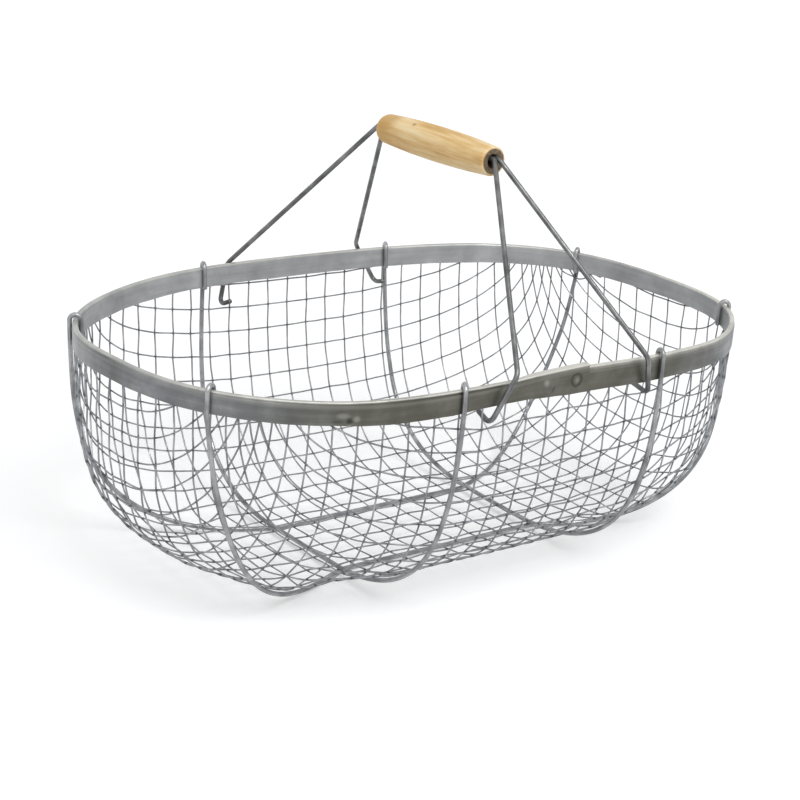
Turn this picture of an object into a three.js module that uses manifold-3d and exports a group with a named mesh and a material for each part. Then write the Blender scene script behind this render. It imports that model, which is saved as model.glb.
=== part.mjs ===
// Oval harvest basket: a woven wire bowl hung in a folded sheet rim, carried by four wire ribs,
// with a handle of two wire bails that share one turned wooden grip.
// Millimetres, +Z up. The origin is on the ground under the middle of the bowl, X along the length.
import * as THREE from 'three';
import { mergeVertices } from 'three/addons/utils/BufferGeometryUtils.js';
import Module from 'manifold-3d';

const wasm = await Module();
wasm.setup();

// Gap kept between pieces that touch
const clearance = 0.3;

// Bowl, measured at the middle of the wire cloth
const rimHalfLength = 250;
const rimHalfWidth = 162.5;
const basketHeight = 170.5;
const ovalExponent = 2.7;
const floorHalfLength = 60;
const floorHalfWidth = 10;
const lengthExponent = 4.15;
const widthExponent = 3.1;
const bowlStations = 72;
const bowlRings = 12;
const ringCrowding = 1.5;

// Wire cloth, as a grid of bars that is coarser than the weave
const meshWire = 1.4;
const meshPitch = 18.4;
const gridBar = 2.8;
const gridGap = 49;

// Rim band: a strip folded over the edge of the cloth, one end lapped over the other on the front
const bandHeight = 17;
const bandSheet = 0.8;
const foldChamfer = 0.8;
const lapInnerEnd = -30;
const lapOuterEnd = 15;
const lapWidening = 16;

// Ribs
const ribWire = 3.4;
const ribHookPlay = 0.5;
const ribTail = 15;
const leftCrossRibX = 92.4;
const rightCrossRibX = 85;
const crossRibFootY = 35.6;
const crossRibWallHeight = 76.9;
const crossRibFootPull = 0.153;
const crossRibWallPull = 0.536;
const longRibFloorX = 88;
const longRibFloorY = 42.5;
const longRibFootX = 108.5;
const longRibFootY = 51.2;
const longRibWallHeight = 95.7;
const longRibWallY = 93.9;
const longRibRimY = 90.2;
const longRibFootPull = 0.418;
const longRibWallPull = 0.416;
const ribSides = 8;

// Handle bails; the handle sits a little off the middle of the length
const handleX = 5;
const bailWire = 3.6;
const bailPlay = 1.1;
const hookHalfSpacing = 73.4;
const hookBottomDrop = 8.6;
const hookHalfWidth = 5.8;
const hookTail = 3;
const shoulderRise = 8;
const shoulderBend = 10;
const gripBend = 6;
const bailSides = 8;

// Grip
const gripHeight = 291.5;
const gripLength = 124;
const gripMiddleDiameter = 25;
const gripEndDiameter = 21;
const gripEndRound = 2.5;
const gripBore = 10;
const gripSides = 24;

// Sizes that follow
const clothHalf = meshWire;
const ribRadius = ribWire / 2;
const bailRadius = bailWire / 2;
const longRibFloor = ribRadius;
const crossRibFloor = longRibFloor + ribWire + clearance;
const floorHeight = crossRibFloor + ribRadius + clearance + clothHalf;
const ribOffWall = clothHalf + clearance + ribRadius;
const slotHalf = clothHalf + clearance;
const bandHalf = slotHalf + bandSheet;
const bandBottom = basketHeight - bandHeight;
const lapStep = bandSheet + clearance;
const clothTop = basketHeight - bandSheet - clearance;

// Steps along a bend and along a long curve
const bendSteps = 6;
const curveSteps = 10;

const galvanised = { color: 0x8f9496, roughness: 0.5, metalness: 0.9 };
const wood = { color: 0xd9b67e, roughness: 0.6, metalness: 0 };

const basket = new THREE.Group();

function addPiece(name, geometry, look) {
  geometry.computeVertexNormals();
  const piece = new THREE.Mesh(geometry, new THREE.MeshStandardMaterial(look));
  piece.name = name;
  basket.add(piece);
}

function indexedGeometry(positions, triangles) {
  const geometry = new THREE.BufferGeometry();
  geometry.setAttribute('position', new THREE.Float32BufferAttribute(positions, 3));
  geometry.setIndex(Array.from(triangles));
  return geometry;
}

function welded(geometry) {
  const bare = geometry.clone();
  bare.deleteAttribute('normal');
  bare.deleteAttribute('uv');
  return mergeVertices(bare);
}

function toSolid(geometry) {
  const shape = welded(geometry);
  const vertProperties = new Float32Array(shape.attributes.position.array);
  const triVerts = new Uint32Array(shape.index.array);
  return new wasm.Manifold(new wasm.Mesh({ numProp: 3, vertProperties, triVerts }));
}

function cutAway(geometry, cutters) {
  let solid = toSolid(geometry);
  for (const cutter of cutters) {
    solid = solid.subtract(toSolid(cutter));
  }
  const left = solid.getMesh();
  return indexedGeometry(left.vertProperties, left.triVerts);
}

// Closed surface with its faces turned outwards
function facingOut(points, triangles) {
  let volume = 0;
  for (const [a, b, c] of triangles) {
    volume += points[a].dot(new THREE.Vector3().crossVectors(points[b], points[c]));
  }
  const facing = volume > 0 ? triangles : triangles.map(([a, b, c]) => [a, c, b]);
  return indexedGeometry(points.flatMap((point) => point.toArray()), facing.flat());
}

// Closed surface through rings of points, with one list of cap triangles for both ends
function joinRings(rings, caps) {
  const count = rings[0].length;
  const points = rings.flat();
  const triangles = [];
  for (let first = 0; first + count < points.length; first += count) {
    const next = first + count;
    for (let j = 0; j < count; j += 1) {
      const k = (j + 1) % count;
      triangles.push([first + j, first + k, next + k], [first + j, next + k, next + j]);
    }
  }
  const last = points.length - count;
  for (const [a, b, c] of caps) {
    triangles.push([a, c, b], [last + a, last + b, last + c]);
  }
  return facingOut(points, triangles);
}

function fanCap(count) {
  return Array.from({ length: count - 2 }, (_, j) => [0, j + 1, j + 2]);
}

// Plan of the bowl at any height: an oval with squared corners
const signedPower = (value, power) => Math.sign(value) * Math.abs(value) ** power;

function ovalPoint(angle, halfLength, halfWidth) {
  const power = 2 / ovalExponent;
  const x = halfLength * signedPower(Math.cos(angle), power);
  const y = halfWidth * signedPower(Math.sin(angle), power);
  return new THREE.Vector2(x, y);
}

function rimNormal(point) {
  const power = ovalExponent - 1;
  const x = signedPower(point.x / rimHalfLength, power) / rimHalfLength;
  const y = signedPower(point.y / rimHalfWidth, power) / rimHalfWidth;
  return new THREE.Vector3(x, y, 0).normalize();
}

// Half length and half width of the plan, by the drop below the rim as a share of the bowl's depth
function planAxes(drop) {
  const swell = (exponent) => (1 - drop ** exponent) ** (1 / exponent);
  const halfLength = floorHalfLength + (rimHalfLength - floorHalfLength) * swell(lengthExponent);
  const halfWidth = floorHalfWidth + (rimHalfWidth - floorHalfWidth) * swell(widthExponent);
  return { halfLength, halfWidth };
}

function planAt(height) {
  return planAxes(Math.max(basketHeight - height, 0) / (basketHeight - floorHeight));
}

function reach(place, placeHalf, reachHalf) {
  return reachHalf * (1 - (place / placeHalf) ** ovalExponent) ** (1 / ovalExponent);
}

function lengthReach(y, height) {
  const { halfLength, halfWidth } = planAt(height);
  return reach(y, halfWidth, halfLength);
}

function widthReach(x, height) {
  const { halfLength, halfWidth } = planAt(height);
  return reach(x, halfLength, halfWidth);
}

// Outward direction of the wall, from how fast a point leaves the plan at its height
function wallNormal(point) {
  const outside = (dx, dy, dz) => {
    const { halfLength, halfWidth } = planAt(point.z + dz);
    const along = Math.abs(point.x + dx) / halfLength;
    const across = Math.abs(point.y + dy) / halfWidth;
    return along ** ovalExponent + across ** ovalExponent;
  };
  const step = 0.01;
  return new THREE.Vector3(
    outside(step, 0, 0) - outside(-step, 0, 0),
    outside(0, step, 0) - outside(0, -step, 0),
    outside(0, 0, step) - outside(0, 0, -step),
  ).normalize();
}

// Wire cloth: a bowl as thick as the weave, cut into a grid, with a window for each handle hook
const bandShare = bandHeight / (basketHeight - floorHeight);
const ringTurns = Array.from({ length: bowlRings }, (_, ring) => (
  (Math.PI / 2) * (ring / bowlRings) ** ringCrowding
));
ringTurns.push(Math.acos(bandShare ** (widthExponent / 2)), Math.PI / 2);

function bowlRing(turn, offset) {
  const drop = Math.max(Math.cos(turn), 0) ** (2 / widthExponent);
  const { halfLength, halfWidth } = planAxes(drop);
  const height = Math.min(basketHeight - drop * (basketHeight - floorHeight), clothTop);
  return Array.from({ length: bowlStations }, (_, j) => {
    const plan = ovalPoint((2 * Math.PI * j) / bowlStations, halfLength, halfWidth);
    const point = new THREE.Vector3(plan.x, plan.y, height);
    let outward = new THREE.Vector3(0, 0, -1);
    if (height === clothTop) {
      outward = rimNormal(point);
    } else if (turn > 0) {
      outward = wallNormal(point);
    }
    return point.addScaledVector(outward, offset);
  });
}

// Numbers of the points that carry a bar, each as far from the last as the widest opening allows
function barPlaces(steps) {
  const places = [0];
  let gap = 0;
  steps.forEach((step, i) => {
    if (gap > 0 && gap + step > gridGap + gridBar) {
      places.push(i);
      gap = 0;
    }
    gap += step;
  });
  return places;
}

// Lines of the grid: two for a point that carries a bar, one on each side, and one for any other point
function gridLines(count, bars) {
  return Array.from({ length: count }, (_, at) => at).flatMap((at) => (
    bars.has(at) ? [{ at, side: -1 }, { at, side: 1 }] : [{ at, side: 0 }]
  ));
}

const betweenLines = (first, second) => first.at === second.at;

function hoopRings() {
  const rings = ringTurns.slice(0, -1).map((turn) => bowlRing(turn, 0));
  const steps = rings.slice(1).map((ring, i) => (
    Math.max(...ring.map((point, j) => point.distanceTo(rings[i][j])))
  ));
  return new Set(barPlaces(steps));
}

function spokeStations() {
  const quarter = Math.floor(bowlStations / 4);
  const rim = bowlRing(Math.PI / 2, 0);
  const steps = Array.from({ length: quarter }, (_, i) => rim[quarter - i].distanceTo(rim[quarter - i - 1]));
  const stations = [...barPlaces(steps).map((i) => quarter - i), 0];
  return new Set(stations.flatMap((at) => (
    [at, 2 * quarter - at, 2 * quarter + at, 4 * quarter - at].map((station) => station % bowlStations)
  )));
}

// A point moved by half a bar towards its neighbour
function movedHalfBar(point, neighbour) {
  const share = Math.min(gridBar / 2 / point.distanceTo(neighbour), 0.45);
  return point.clone().lerp(neighbour, share);
}

function gridPoint(rings, row, column) {
  const onRing = (ring) => {
    const point = rings[ring][column.at];
    const next = (column.at + column.side + bowlStations) % bowlStations;
    return column.side === 0 ? point : movedHalfBar(point, rings[ring][next]);
  };
  const towards = row.at + row.side;
  return row.side === 0 || towards < 0 ? onRing(row.at) : movedHalfBar(onRing(row.at), onRing(towards));
}

// Solid cells of the grid, four corners each: hoops, spokes, the hem in the band and bars across the floor
function gridCells(rows, columns) {
  const count = columns.length;
  const hem = ringTurns.length - 2;
  const mirror = (i) => (count + 1 - i) % count;
  const cells = [];
  for (let i = 0; i + 1 < rows.length; i += 1) {
    for (let j = 0; j < count; j += 1) {
      const k = (j + 1) % count;
      if (rows[i].at >= hem || betweenLines(rows[i], rows[i + 1]) || betweenLines(columns[j], columns[k])) {
        cells.push([i * count + j, i * count + k, (i + 1) * count + k, (i + 1) * count + j]);
      }
    }
  }
  for (let j = 1; j + 1 < mirror(j + 1); j += 1) {
    if (betweenLines(columns[j], columns[j + 1])) {
      cells.push([j + 1, j, mirror(j), mirror(j + 1)]);
    }
  }
  return cells;
}

// Closed grid: each cell on both faces of the cloth, and a wall along each edge that no other cell shares
function clothGrid() {
  const rows = gridLines(ringTurns.length, hoopRings());
  const columns = gridLines(bowlStations, spokeStations());
  const cells = gridCells(rows, columns);
  const points = [clothHalf, -clothHalf].flatMap((offset) => {
    const rings = ringTurns.map((turn) => bowlRing(turn, offset));
    return rows.flatMap((row) => columns.map((column) => gridPoint(rings, row, column)));
  });
  const inner = points.length / 2;
  const edges = cells.flatMap((cell) => cell.map((corner, i) => [corner, cell[(i + 1) % cell.length]]));
  const shared = new Set(edges.map(([a, b]) => `${b} ${a}`));
  const triangles = cells.flatMap(([a, b, c, d]) => [
    [a, b, c], [a, c, d], [inner + a, inner + c, inner + b], [inner + a, inner + d, inner + c],
  ]);
  for (const [a, b] of edges.filter(([a, b]) => !shared.has(`${a} ${b}`))) {
    triangles.push([a, inner + a, inner + b], [a, inner + b, b]);
  }
  return facingOut(points, triangles);
}

function hookWindow(sideX, sideY) {
  const top = bandBottom + meshWire;
  const bottom = hookBottom - bailRadius - clearance;
  const y = widthReach(hookHalfSpacing, hookBottom);
  const window = new THREE.BoxGeometry(meshPitch - meshWire, 4 * hookHalfWidth, top - bottom);
  return window.translate(handleX + sideX * hookHalfSpacing, sideY * y, (top + bottom) / 2);
}

// Rim band: an upside-down U swept once round the rim
const bandCaps = [[0, 1, 9], [1, 8, 9], [1, 2, 8], [2, 3, 8], [3, 7, 8], [3, 4, 7], [4, 5, 6], [4, 6, 7]];

function bandRing(angle, lapShare) {
  const plan = ovalPoint(angle, rimHalfLength, rimHalfWidth);
  const normal = rimNormal(plan);
  const outer = bandHalf + lapShare * lapStep;
  const inner = outer - bandSheet;
  const top = basketHeight + lapShare * lapStep;
  const outline = [
    [outer, bandBottom],
    [outer, top - foldChamfer],
    [outer - foldChamfer, top],
    [foldChamfer - outer, top],
    [-outer, top - foldChamfer],
    [-outer, bandBottom],
    [-inner, bandBottom],
    [-inner, top - bandSheet],
    [inner, top - bandSheet],
    [inner, bandBottom],
  ];
  return outline.map(([off, z]) => new THREE.Vector3(plan.x, plan.y, z).addScaledVector(normal, off));
}

// Angle round the rim of a place on the front
function frontAngle(x) {
  return -Math.acos(signedPower(x / rimHalfLength, ovalExponent / 2));
}

function rimBand() {
  const fullTurn = 2 * Math.PI;
  const start = frontAngle(lapInnerEnd);
  const wide = start + fullTurn;
  const narrow = frontAngle(lapInnerEnd - lapWidening) + fullTurn;
  const end = frontAngle(lapOuterEnd) + fullTurn;
  const angles = [start, narrow, wide, end];
  for (let j = -bowlStations; j <= 2 * bowlStations; j += 1) {
    const angle = (fullTurn * j) / bowlStations;
    if (angle > start && angle < end) {
      angles.push(angle);
    }
  }
  angles.sort((a, b) => a - b);
  const lapShare = (angle) => THREE.MathUtils.clamp((angle - narrow) / (wide - narrow), 0, 1);
  return joinRings(angles.map((angle) => bandRing(angle, lapShare(angle))), bandCaps);
}

// Round wire through points, with flat facets towards the side axis and square to it
function wireGeometry(points, diameter, sides, sideAxis) {
  const corner = diameter / 2 / Math.cos(Math.PI / sides);
  const rings = points.map((point, i) => {
    const before = points[Math.max(i - 1, 0)];
    const after = points[Math.min(i + 1, points.length - 1)];
    const along = new THREE.Vector3().subVectors(after, before).normalize();
    const across = sideAxis.clone().addScaledVector(along, -sideAxis.dot(along)).normalize();
    const up = new THREE.Vector3().crossVectors(along, across);
    return Array.from({ length: sides }, (_, j) => {
      const turn = (2 * Math.PI * (j + 0.5)) / sides;
      const spoke = across.clone().multiplyScalar(corner * Math.cos(turn));
      return spoke.addScaledVector(up, corner * Math.sin(turn)).add(point);
    });
  });
  return joinRings(rings, fanCap(sides));
}

// One half of a rib: along the floor, up the wall, over the rim and down inside the band
const ribHookRadius = bandHalf + ribHookPlay + ribRadius;
const ribHookCentre = basketHeight - foldChamfer - clearance;

function ribHalf({ floorPoint, footPoint, footPull, wallHeight, wallSide, wallPull, rimSide, onWall }) {
  const climb = Array.from({ length: bendSteps }, (_, i) => {
    const share = i / (bendSteps - 1);
    const height = THREE.MathUtils.lerp(wallHeight, bandBottom, share);
    const point = onWall(THREE.MathUtils.lerp(wallSide, rimSide, share), height);
    const off = THREE.MathUtils.lerp(ribOffWall, ribHookRadius, share);
    return point.addScaledVector(wallNormal(point), off);
  });
  const leaving = new THREE.Vector3().subVectors(footPoint, floorPoint).normalize();
  const rising = new THREE.Vector3().subVectors(climb[1], climb[0]).normalize();
  const span = footPoint.distanceTo(climb[0]);
  const corner = new THREE.CubicBezierCurve3(
    footPoint,
    footPoint.clone().addScaledVector(leaving, footPull * span),
    climb[0].clone().addScaledVector(rising, -wallPull * span),
    climb[0],
  );
  const rimPoint = onWall(rimSide, basketHeight);
  const outward = rimNormal(rimPoint);
  const hook = Array.from({ length: bendSteps + 1 }, (_, i) => {
    const turn = (Math.PI * i) / bendSteps;
    const point = rimPoint.clone().setZ(ribHookCentre + ribHookRadius * Math.sin(turn));
    return point.addScaledVector(outward, ribHookRadius * Math.cos(turn));
  });
  const tip = hook[bendSteps].clone().setZ(ribHookCentre - ribTail);
  return [floorPoint, ...corner.getPoints(curveSteps), ...climb.slice(1), ...hook, tip];
}

function bothHalves(points, flip) {
  const far = points.map((point) => point.clone().multiply(flip)).reverse();
  return [...far, ...points];
}

function longRib(side) {
  const points = ribHalf({
    floorPoint: new THREE.Vector3(longRibFloorX, side * longRibFloorY, longRibFloor),
    footPoint: new THREE.Vector3(longRibFootX, side * longRibFootY, longRibFloor),
    footPull: longRibFootPull,
    wallHeight: longRibWallHeight,
    wallSide: longRibWallY,
    wallPull: longRibWallPull,
    rimSide: longRibRimY,
    onWall: (y, height) => new THREE.Vector3(lengthReach(y, height), side * y, height),
  });
  const whole = bothHalves(points, new THREE.Vector3(-1, 1, 1));
  return wireGeometry(whole, ribWire, ribSides, new THREE.Vector3(0, 1, 0));
}

function crossRib(side, ribX) {
  const points = ribHalf({
    floorPoint: new THREE.Vector3(side * ribX, crossRibFootY / 2, crossRibFloor),
    footPoint: new THREE.Vector3(side * ribX, crossRibFootY, crossRibFloor),
    footPull: crossRibFootPull,
    wallHeight: crossRibWallHeight,
    wallSide: ribX,
    wallPull: crossRibWallPull,
    rimSide: ribX,
    onWall: (x, height) => new THREE.Vector3(side * x, widthReach(x, height), height),
  });
  const whole = bothHalves(points, new THREE.Vector3(1, -1, 1));
  return wireGeometry(whole, ribWire, ribSides, new THREE.Vector3(1, 0, 0));
}

// Bails: flat bent wires side by side at the top of the bore, leaning apart down to their hooks
const bailCentre = bailRadius + clearance / 2;
const bailDrop = Math.sqrt((gripBore / 2 - clearance - bailRadius) ** 2 - bailCentre ** 2);
const bailTop = gripHeight + bailDrop;
const hookBottom = bandBottom - hookBottomDrop;
const lean = (hookHalfSpacing - bailCentre) / (bailTop - hookBottom);
const slant = Math.hypot(1, lean);
const bandTopX = bailCentre + lean * (bailTop - basketHeight) - Math.abs(handleX);
const legY = widthReach(bandTopX, basketHeight) + bandHalf + bailPlay + bailRadius;

// Points of a corner rounded off between two straight runs
function roundCorner(before, corner, after, radius) {
  const back = new THREE.Vector2().subVectors(before, corner).normalize();
  const ahead = new THREE.Vector2().subVectors(after, corner).normalize();
  const half = Math.acos(back.dot(ahead)) / 2;
  const middle = back.clone().add(ahead).normalize();
  const centre = corner.clone().addScaledVector(middle, radius / Math.sin(half));
  const start = corner.clone().addScaledVector(back, radius / Math.tan(half)).sub(centre);
  const turn = Math.sign(back.cross(ahead)) * (2 * half - Math.PI);
  return Array.from({ length: bendSteps + 1 }, (_, i) => (
    start.clone().rotateAround(new THREE.Vector2(), (turn * i) / bendSteps).add(centre)
  ));
}

function bail(side) {
  const fall = (height) => (bailTop - height) * slant;
  const bendStart = gripLength / 2 + clearance;
  const shoulder = new THREE.Vector2(legY, fall(basketHeight + shoulderRise));
  const steep = Math.atan2(shoulder.y, shoulder.x - bendStart);
  const neck = new THREE.Vector2(bendStart + gripBend * Math.tan(steep / 2), 0);
  const hookTop = fall(hookBottom) - hookHalfWidth;
  const hook = Array.from({ length: 2 * bendSteps + 1 }, (_, i) => {
    const turn = (Math.PI * i) / (2 * bendSteps);
    const y = legY - hookHalfWidth + hookHalfWidth * Math.cos(turn);
    return new THREE.Vector2(y, hookTop + hookHalfWidth * Math.sin(turn));
  });
  const flat = [
    ...roundCorner(new THREE.Vector2(), neck, shoulder, gripBend),
    ...roundCorner(neck, shoulder, hook[0], shoulderBend),
    ...hook,
    new THREE.Vector2(legY - 2 * hookHalfWidth, hookTop - hookTail),
  ];
  const points = flat.map((p) => {
    const down = p.y / slant;
    return new THREE.Vector3(handleX + side * (bailCentre + lean * down), p.x, bailTop - down);
  });
  const whole = bothHalves(points, new THREE.Vector3(1, -1, 1));
  return wireGeometry(whole, bailWire, bailSides, new THREE.Vector3(1, 0, side * lean).normalize());
}

// Grip: a turned barrel with a bore for both bails
function grip() {
  const half = gripLength / 2;
  const flatHalf = half - gripEndRound;
  const bore = gripBore / 2;
  const taper = gripMiddleDiameter - gripEndDiameter;
  const swell = (y) => (gripMiddleDiameter - taper * (y / flatHalf) ** 2) / 2;
  const endFlat = swell(flatHalf) - gripEndRound;
  const rounding = Math.SQRT1_2 * gripEndRound;
  const barrel = Array.from({ length: curveSteps + 1 }, (_, i) => {
    const y = THREE.MathUtils.lerp(-flatHalf, flatHalf, i / curveSteps);
    return [swell(y), y];
  });
  const profile = [
    [bore, -half],
    [endFlat, -half],
    [endFlat + rounding, -flatHalf - rounding],
    ...barrel,
    [endFlat + rounding, flatHalf + rounding],
    [endFlat, half],
    [bore, half],
    [bore, -half],
  ];
  const lathe = new THREE.LatheGeometry(profile.map(([r, y]) => new THREE.Vector2(r, y)), gripSides);
  return welded(lathe).translate(handleX, 0, gripHeight);
}

const windows = [-1, 1].flatMap((sideX) => [-1, 1].map((sideY) => hookWindow(sideX, sideY)));
addPiece('mesh_body', cutAway(clothGrid(), windows), galvanised);
addPiece('rim_band', rimBand(), galvanised);
addPiece('front_long_rib', longRib(-1), galvanised);
addPiece('rear_long_rib', longRib(1), galvanised);
addPiece('left_cross_rib', crossRib(-1, leftCrossRibX), galvanised);
addPiece('right_cross_rib', crossRib(1, rightCrossRibX), galvanised);
addPiece('left_bail', bail(-1), galvanised);
addPiece('right_bail', bail(1), galvanised);
addPiece('grip', grip(), wood);

export default basket;
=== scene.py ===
"""Looks of the oval harvest basket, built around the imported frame.

Shapes are worked out in millimetres, in the CAD frame, and turned into metres when a mesh is made.
"""
import math

import bpy
import numpy as np
from mathutils import Matrix


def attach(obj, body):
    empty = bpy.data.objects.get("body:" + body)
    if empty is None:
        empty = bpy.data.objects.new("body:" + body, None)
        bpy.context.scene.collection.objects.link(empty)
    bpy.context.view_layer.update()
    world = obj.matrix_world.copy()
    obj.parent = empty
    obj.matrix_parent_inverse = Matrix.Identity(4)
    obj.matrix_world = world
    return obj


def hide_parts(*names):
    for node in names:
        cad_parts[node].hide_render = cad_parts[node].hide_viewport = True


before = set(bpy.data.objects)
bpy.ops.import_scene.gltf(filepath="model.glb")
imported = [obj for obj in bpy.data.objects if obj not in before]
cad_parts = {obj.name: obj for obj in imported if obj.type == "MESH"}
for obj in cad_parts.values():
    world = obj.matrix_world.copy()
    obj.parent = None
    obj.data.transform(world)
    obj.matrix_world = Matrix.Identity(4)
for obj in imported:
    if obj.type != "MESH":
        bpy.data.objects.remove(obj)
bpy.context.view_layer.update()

random = np.random.default_rng(7)
MM = 0.001

# Camera: the photograph's place and direction in the CAD frame
CAMERA_PLACE = (-840.73, -1049.09, 551.43)
CAMERA_RIGHT = (0.79670, -0.60070, 0.06652)
CAMERA_UP = (0.14134, 0.29219, 0.94586)
CAMERA_BACK = (-0.58761, -0.74417, 0.31769)
CAMERA_LENS = 87.01
CAMERA_SENSOR = 36.0

# Stage: the floor, the light from all sides, and lamps by strength, spread in degrees and tilt in radians
STAGE_HALF = 6000.0
STAGE_Z = -0.6
STAGE_COLOUR = (0.86, 0.865, 0.875, 1)
STAGE_GLOW = 0.25
WORLD_LIGHT = 0.4
LAMPS = {"key": (1.7, 32, (0.62, -0.3, 0.4)), "fill": (0.6, 50, (0.5, -0.7, -0.2))}

# Dark, middle and light tones of the wires
CLOTH_TONES = ((0.14, 0.147, 0.156), (0.26, 0.269, 0.282), (0.46, 0.47, 0.485))
RIB_TONES = ((0.15, 0.155, 0.16), (0.265, 0.271, 0.279), (0.45, 0.456, 0.464))
BAIL_TONES = ((0.075, 0.077, 0.078), (0.145, 0.147, 0.148), (0.28, 0.282, 0.282))

# Bowl, at the middle of the wire cloth: half sizes of rim and floor, heights, and powers of its curves
RIM = np.array([250.0, 162.5])
FLOOR = np.array([60.0, 10.0])
TOP = 170.5
FLOOR_Z = 8.8
OVAL = 2.7
BOWL = np.array([4.15, 3.1])

# Bends from use: lifts of the rim by size, X and width, which grow over a range of heights
FRONT_LIFTS = ((3.4, 5.0, 75.0), (-2.0, 170.0, 45.0), (-1.9, -160.0, 52.0))
REAR_LIFTS = ((1.2, -70.0, 110.0),)
LIFT_HEIGHTS = (60.0, 155.0)
SIDE_REACH = 110.0

# Bends from use: the dip of the rear left corner
CORNER_DIP = 3.4
CORNER_Y = 85.0
CORNER_WIDTH = 95.0
CORNER_RANGE = (90.0, 210.0)

# Bends from use: the right end, low down only at the front, and the rear wall are pushed in
END_PUSH = 8.5
END_START = 150.0
END_LENGTH = 100.0
END_POWER = 1.5
END_LOW = 80.0
END_FADE = 120.0
REAR_PUSH = 4.5

# Rim band and its lapped ends
BAND_HALF = 2.1
BAND_SHEET = 0.7
BAND_BOTTOM = 155.3
LAP_STEP = 1.1
LAP_INNER_X = -30.0
LAP_OUTER_X = 15.0
LAP_WIDENING = 16.0
LAP_RAISE = 0.9
LAP_RAISE_POWER = 1.6

# Section of the rim band: where its faces end, by depth under its top, and the size of its fold
FACE_TOP = 4.6
INSIDE_TOP = 1.6
SLOT_TOP = 4.3
FOLD_INSET = 1.3
FOLD_OUTER = (1.0, 1.1)

# Rolled edge under the fold: offset from the face, depth, and shares of fold, crease and bead
ROLLED_EDGE = (
    (0.12, 3.9, 0.0, 0.0, 1.0),
    (-0.05, 3.2, 0.0, 0.0, 0.6),
    (-0.5, 2.3, 0.0, 0.8, 0.0),
    (-0.62, 1.7, 0.0, 1.0, 0.0),
    (-0.42, 1.2, 0.3, 0.3, 0.0),
)

# Slot inside the fold: side, offset from that side's sheet, and depth
SLOT = ((-1, 0.0, 1.5), (-1, 0.7, BAND_SHEET), (1, -0.9, BAND_SHEET), (1, -0.6, 2.3))

# Steps between the sections of the rim band, fine at both lapped ends and at the dent
FINE_STEP = 0.8
COARSE_STEP = 4.5
FINE_START = 60.0
FINE_END = 75.0
FINE_DENT = (165.0, 200.0)

# Unevenness of the rim band: waves by length, turn and size, and how much deeper its front is, by X
FACE_WAVES = ((210, 0.4, 0.1), (97, 2.2, 0.07), (41, 5.1, 0.05))
EDGE_WAVES = ((160, 1.1, 0.16), (58, 0.2, 0.1), (23, 3.3, 0.06))
FRONT_DEPTH = {-170: 0, -130: 1.2, -95: 0.8, -75: -0.6, -35: -0.8, -5: 1.8, 30: 2.2, 190: 2.2, 245: 0}

# Painted light and shade on the rim band, with its weathering: the painted highlight on the fold by X,
# painted shade in the crease, a painted highlight along the bead, weathering with painted shade, and a dark
# and a light painted reflection by Y on the left end
FOLD_HIGHLIGHT = {-250: 0.4, -235: 0.9, -190: 0.8, -130: 0.5, -70: 0.7, 0: 0.9, 100: 1}
FOLD_HIGHLIGHT_REAR = 0.6
FOLD_HIGHLIGHT_SPREAD = 0.5
CREASE_X = -90.0
CREASE_WIDTH = 90.0
CREASE_LEAST = 0.25
CREASE_SHADE = 0.6
BEAD_HIGHLIGHT = 0.16
WEATHER_AND_SHADE_X = -30.0
WEATHER_AND_SHADE_REACH = 230.0
WEATHER_AND_SHADE_MOST = 1.3
WEATHER_AND_SHADE_REAR = 0.45
LEFT_END_X = -150.0
DARK_REFLECTION = (0.55, 2.0, 24.0)
PALE_REFLECTION = (0.45, 58.0, 34.0)

# Marks on the front of the rim band, by X and height: a boss and a ring on the lap, and a dent
BOSS = (-21.0, 162.1)
BOSS_RADIUS = 4.9
BOSS_HEIGHT = 1.0
BOSS_STEEPNESS = 4
RING = (4.1, 162.7)
RING_RADIUS = 4.2
RING_HALF_WIDTH = 1.3
RING_DEPTH = 0.7
# Painted shade in the ring's groove
RING_SHADE = 0.75
DENT = (-163.0, 157.9)

# What is pushed out at the marks, and the painted shade and painted highlights on their relief: size, mark,
# shift from it, radius and stretch along X
PUSHED = (
    (0.35, RING, (0, 0), 2.6, 1),
    (0.5, DENT, (4, 2.4), 3.4, 1),
    (-1.0, DENT, (0, 0), 3.0, 1),
)
PAINTED_SHADE = (
    (0.6, BOSS, (4.2, -2.4), 3.2, 1),
    (1.0, DENT, (0, 0), 2.4, 1),
    (0.5, DENT, (-7, 0), 1.8, 2),
)
PAINTED_HIGHLIGHT = (
    (0.3, RING, (0, 0), 2.4, 1),
    (0.4, BOSS, (-1.6, 2.6), 2.6, 1),
    (0.4, DENT, (4, 1.6), 2.6, 1),
    (0.35, DENT, (-4, 3.8), 2.4, 2),
)

# Wire cloth: pitch, place and numbers of the two families of wires on the bowl
CLOTH_WIRE = 1.2
CROSS_PITCH = 18.2
CROSS_START = 6.7
CROSS_SKEW = 0.0202
CROSS_NUMBERS = np.arange(-24, 25)
LONG_PITCH = 18.09
LONG_START = 258.5
LONG_NUMBERS = np.arange(-3, 33)
WEAVE_LIFT = 0.72 * CLOTH_WIRE / 2
SLACK = 0.18
SLACK_LIMIT = 0.45
CLOTH_TOP = 160.5
STUB_POINTS = 14
STUB_HEIGHT = 16.0

# Net that the cloth is pressed from
WALL_FOOT = 40.0
NET_STEP = 4.4
NET_COUNT = (110, 90)
NET_ABOVE = 60.0
NET_UPWARD = 200.0
NET_TURN = 1.5
NET_HALVINGS = 40

# How the cloth is drawn out to the ribs
REST_GAP = 2.9
REST_REACH = 26.0
REST_LIMIT = 14.0
BEND_STEP = 4.0
BEND_LOW = 7.0
BEND_UNDER_BAND = 20.0

# Front wire that the hooks press down, and that steps up at two kinks
FRONT_WIRE = 28
FRONT_WIRE_DROP = 1.4
FRONT_KINKS = np.array([-14.0, 40.0])
KINK_LENGTH = 8.0
KINK_RISE = 1.5
HOOK_DIP = 2.2
HOOK_DIP_WIDTH = 16.0

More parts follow.
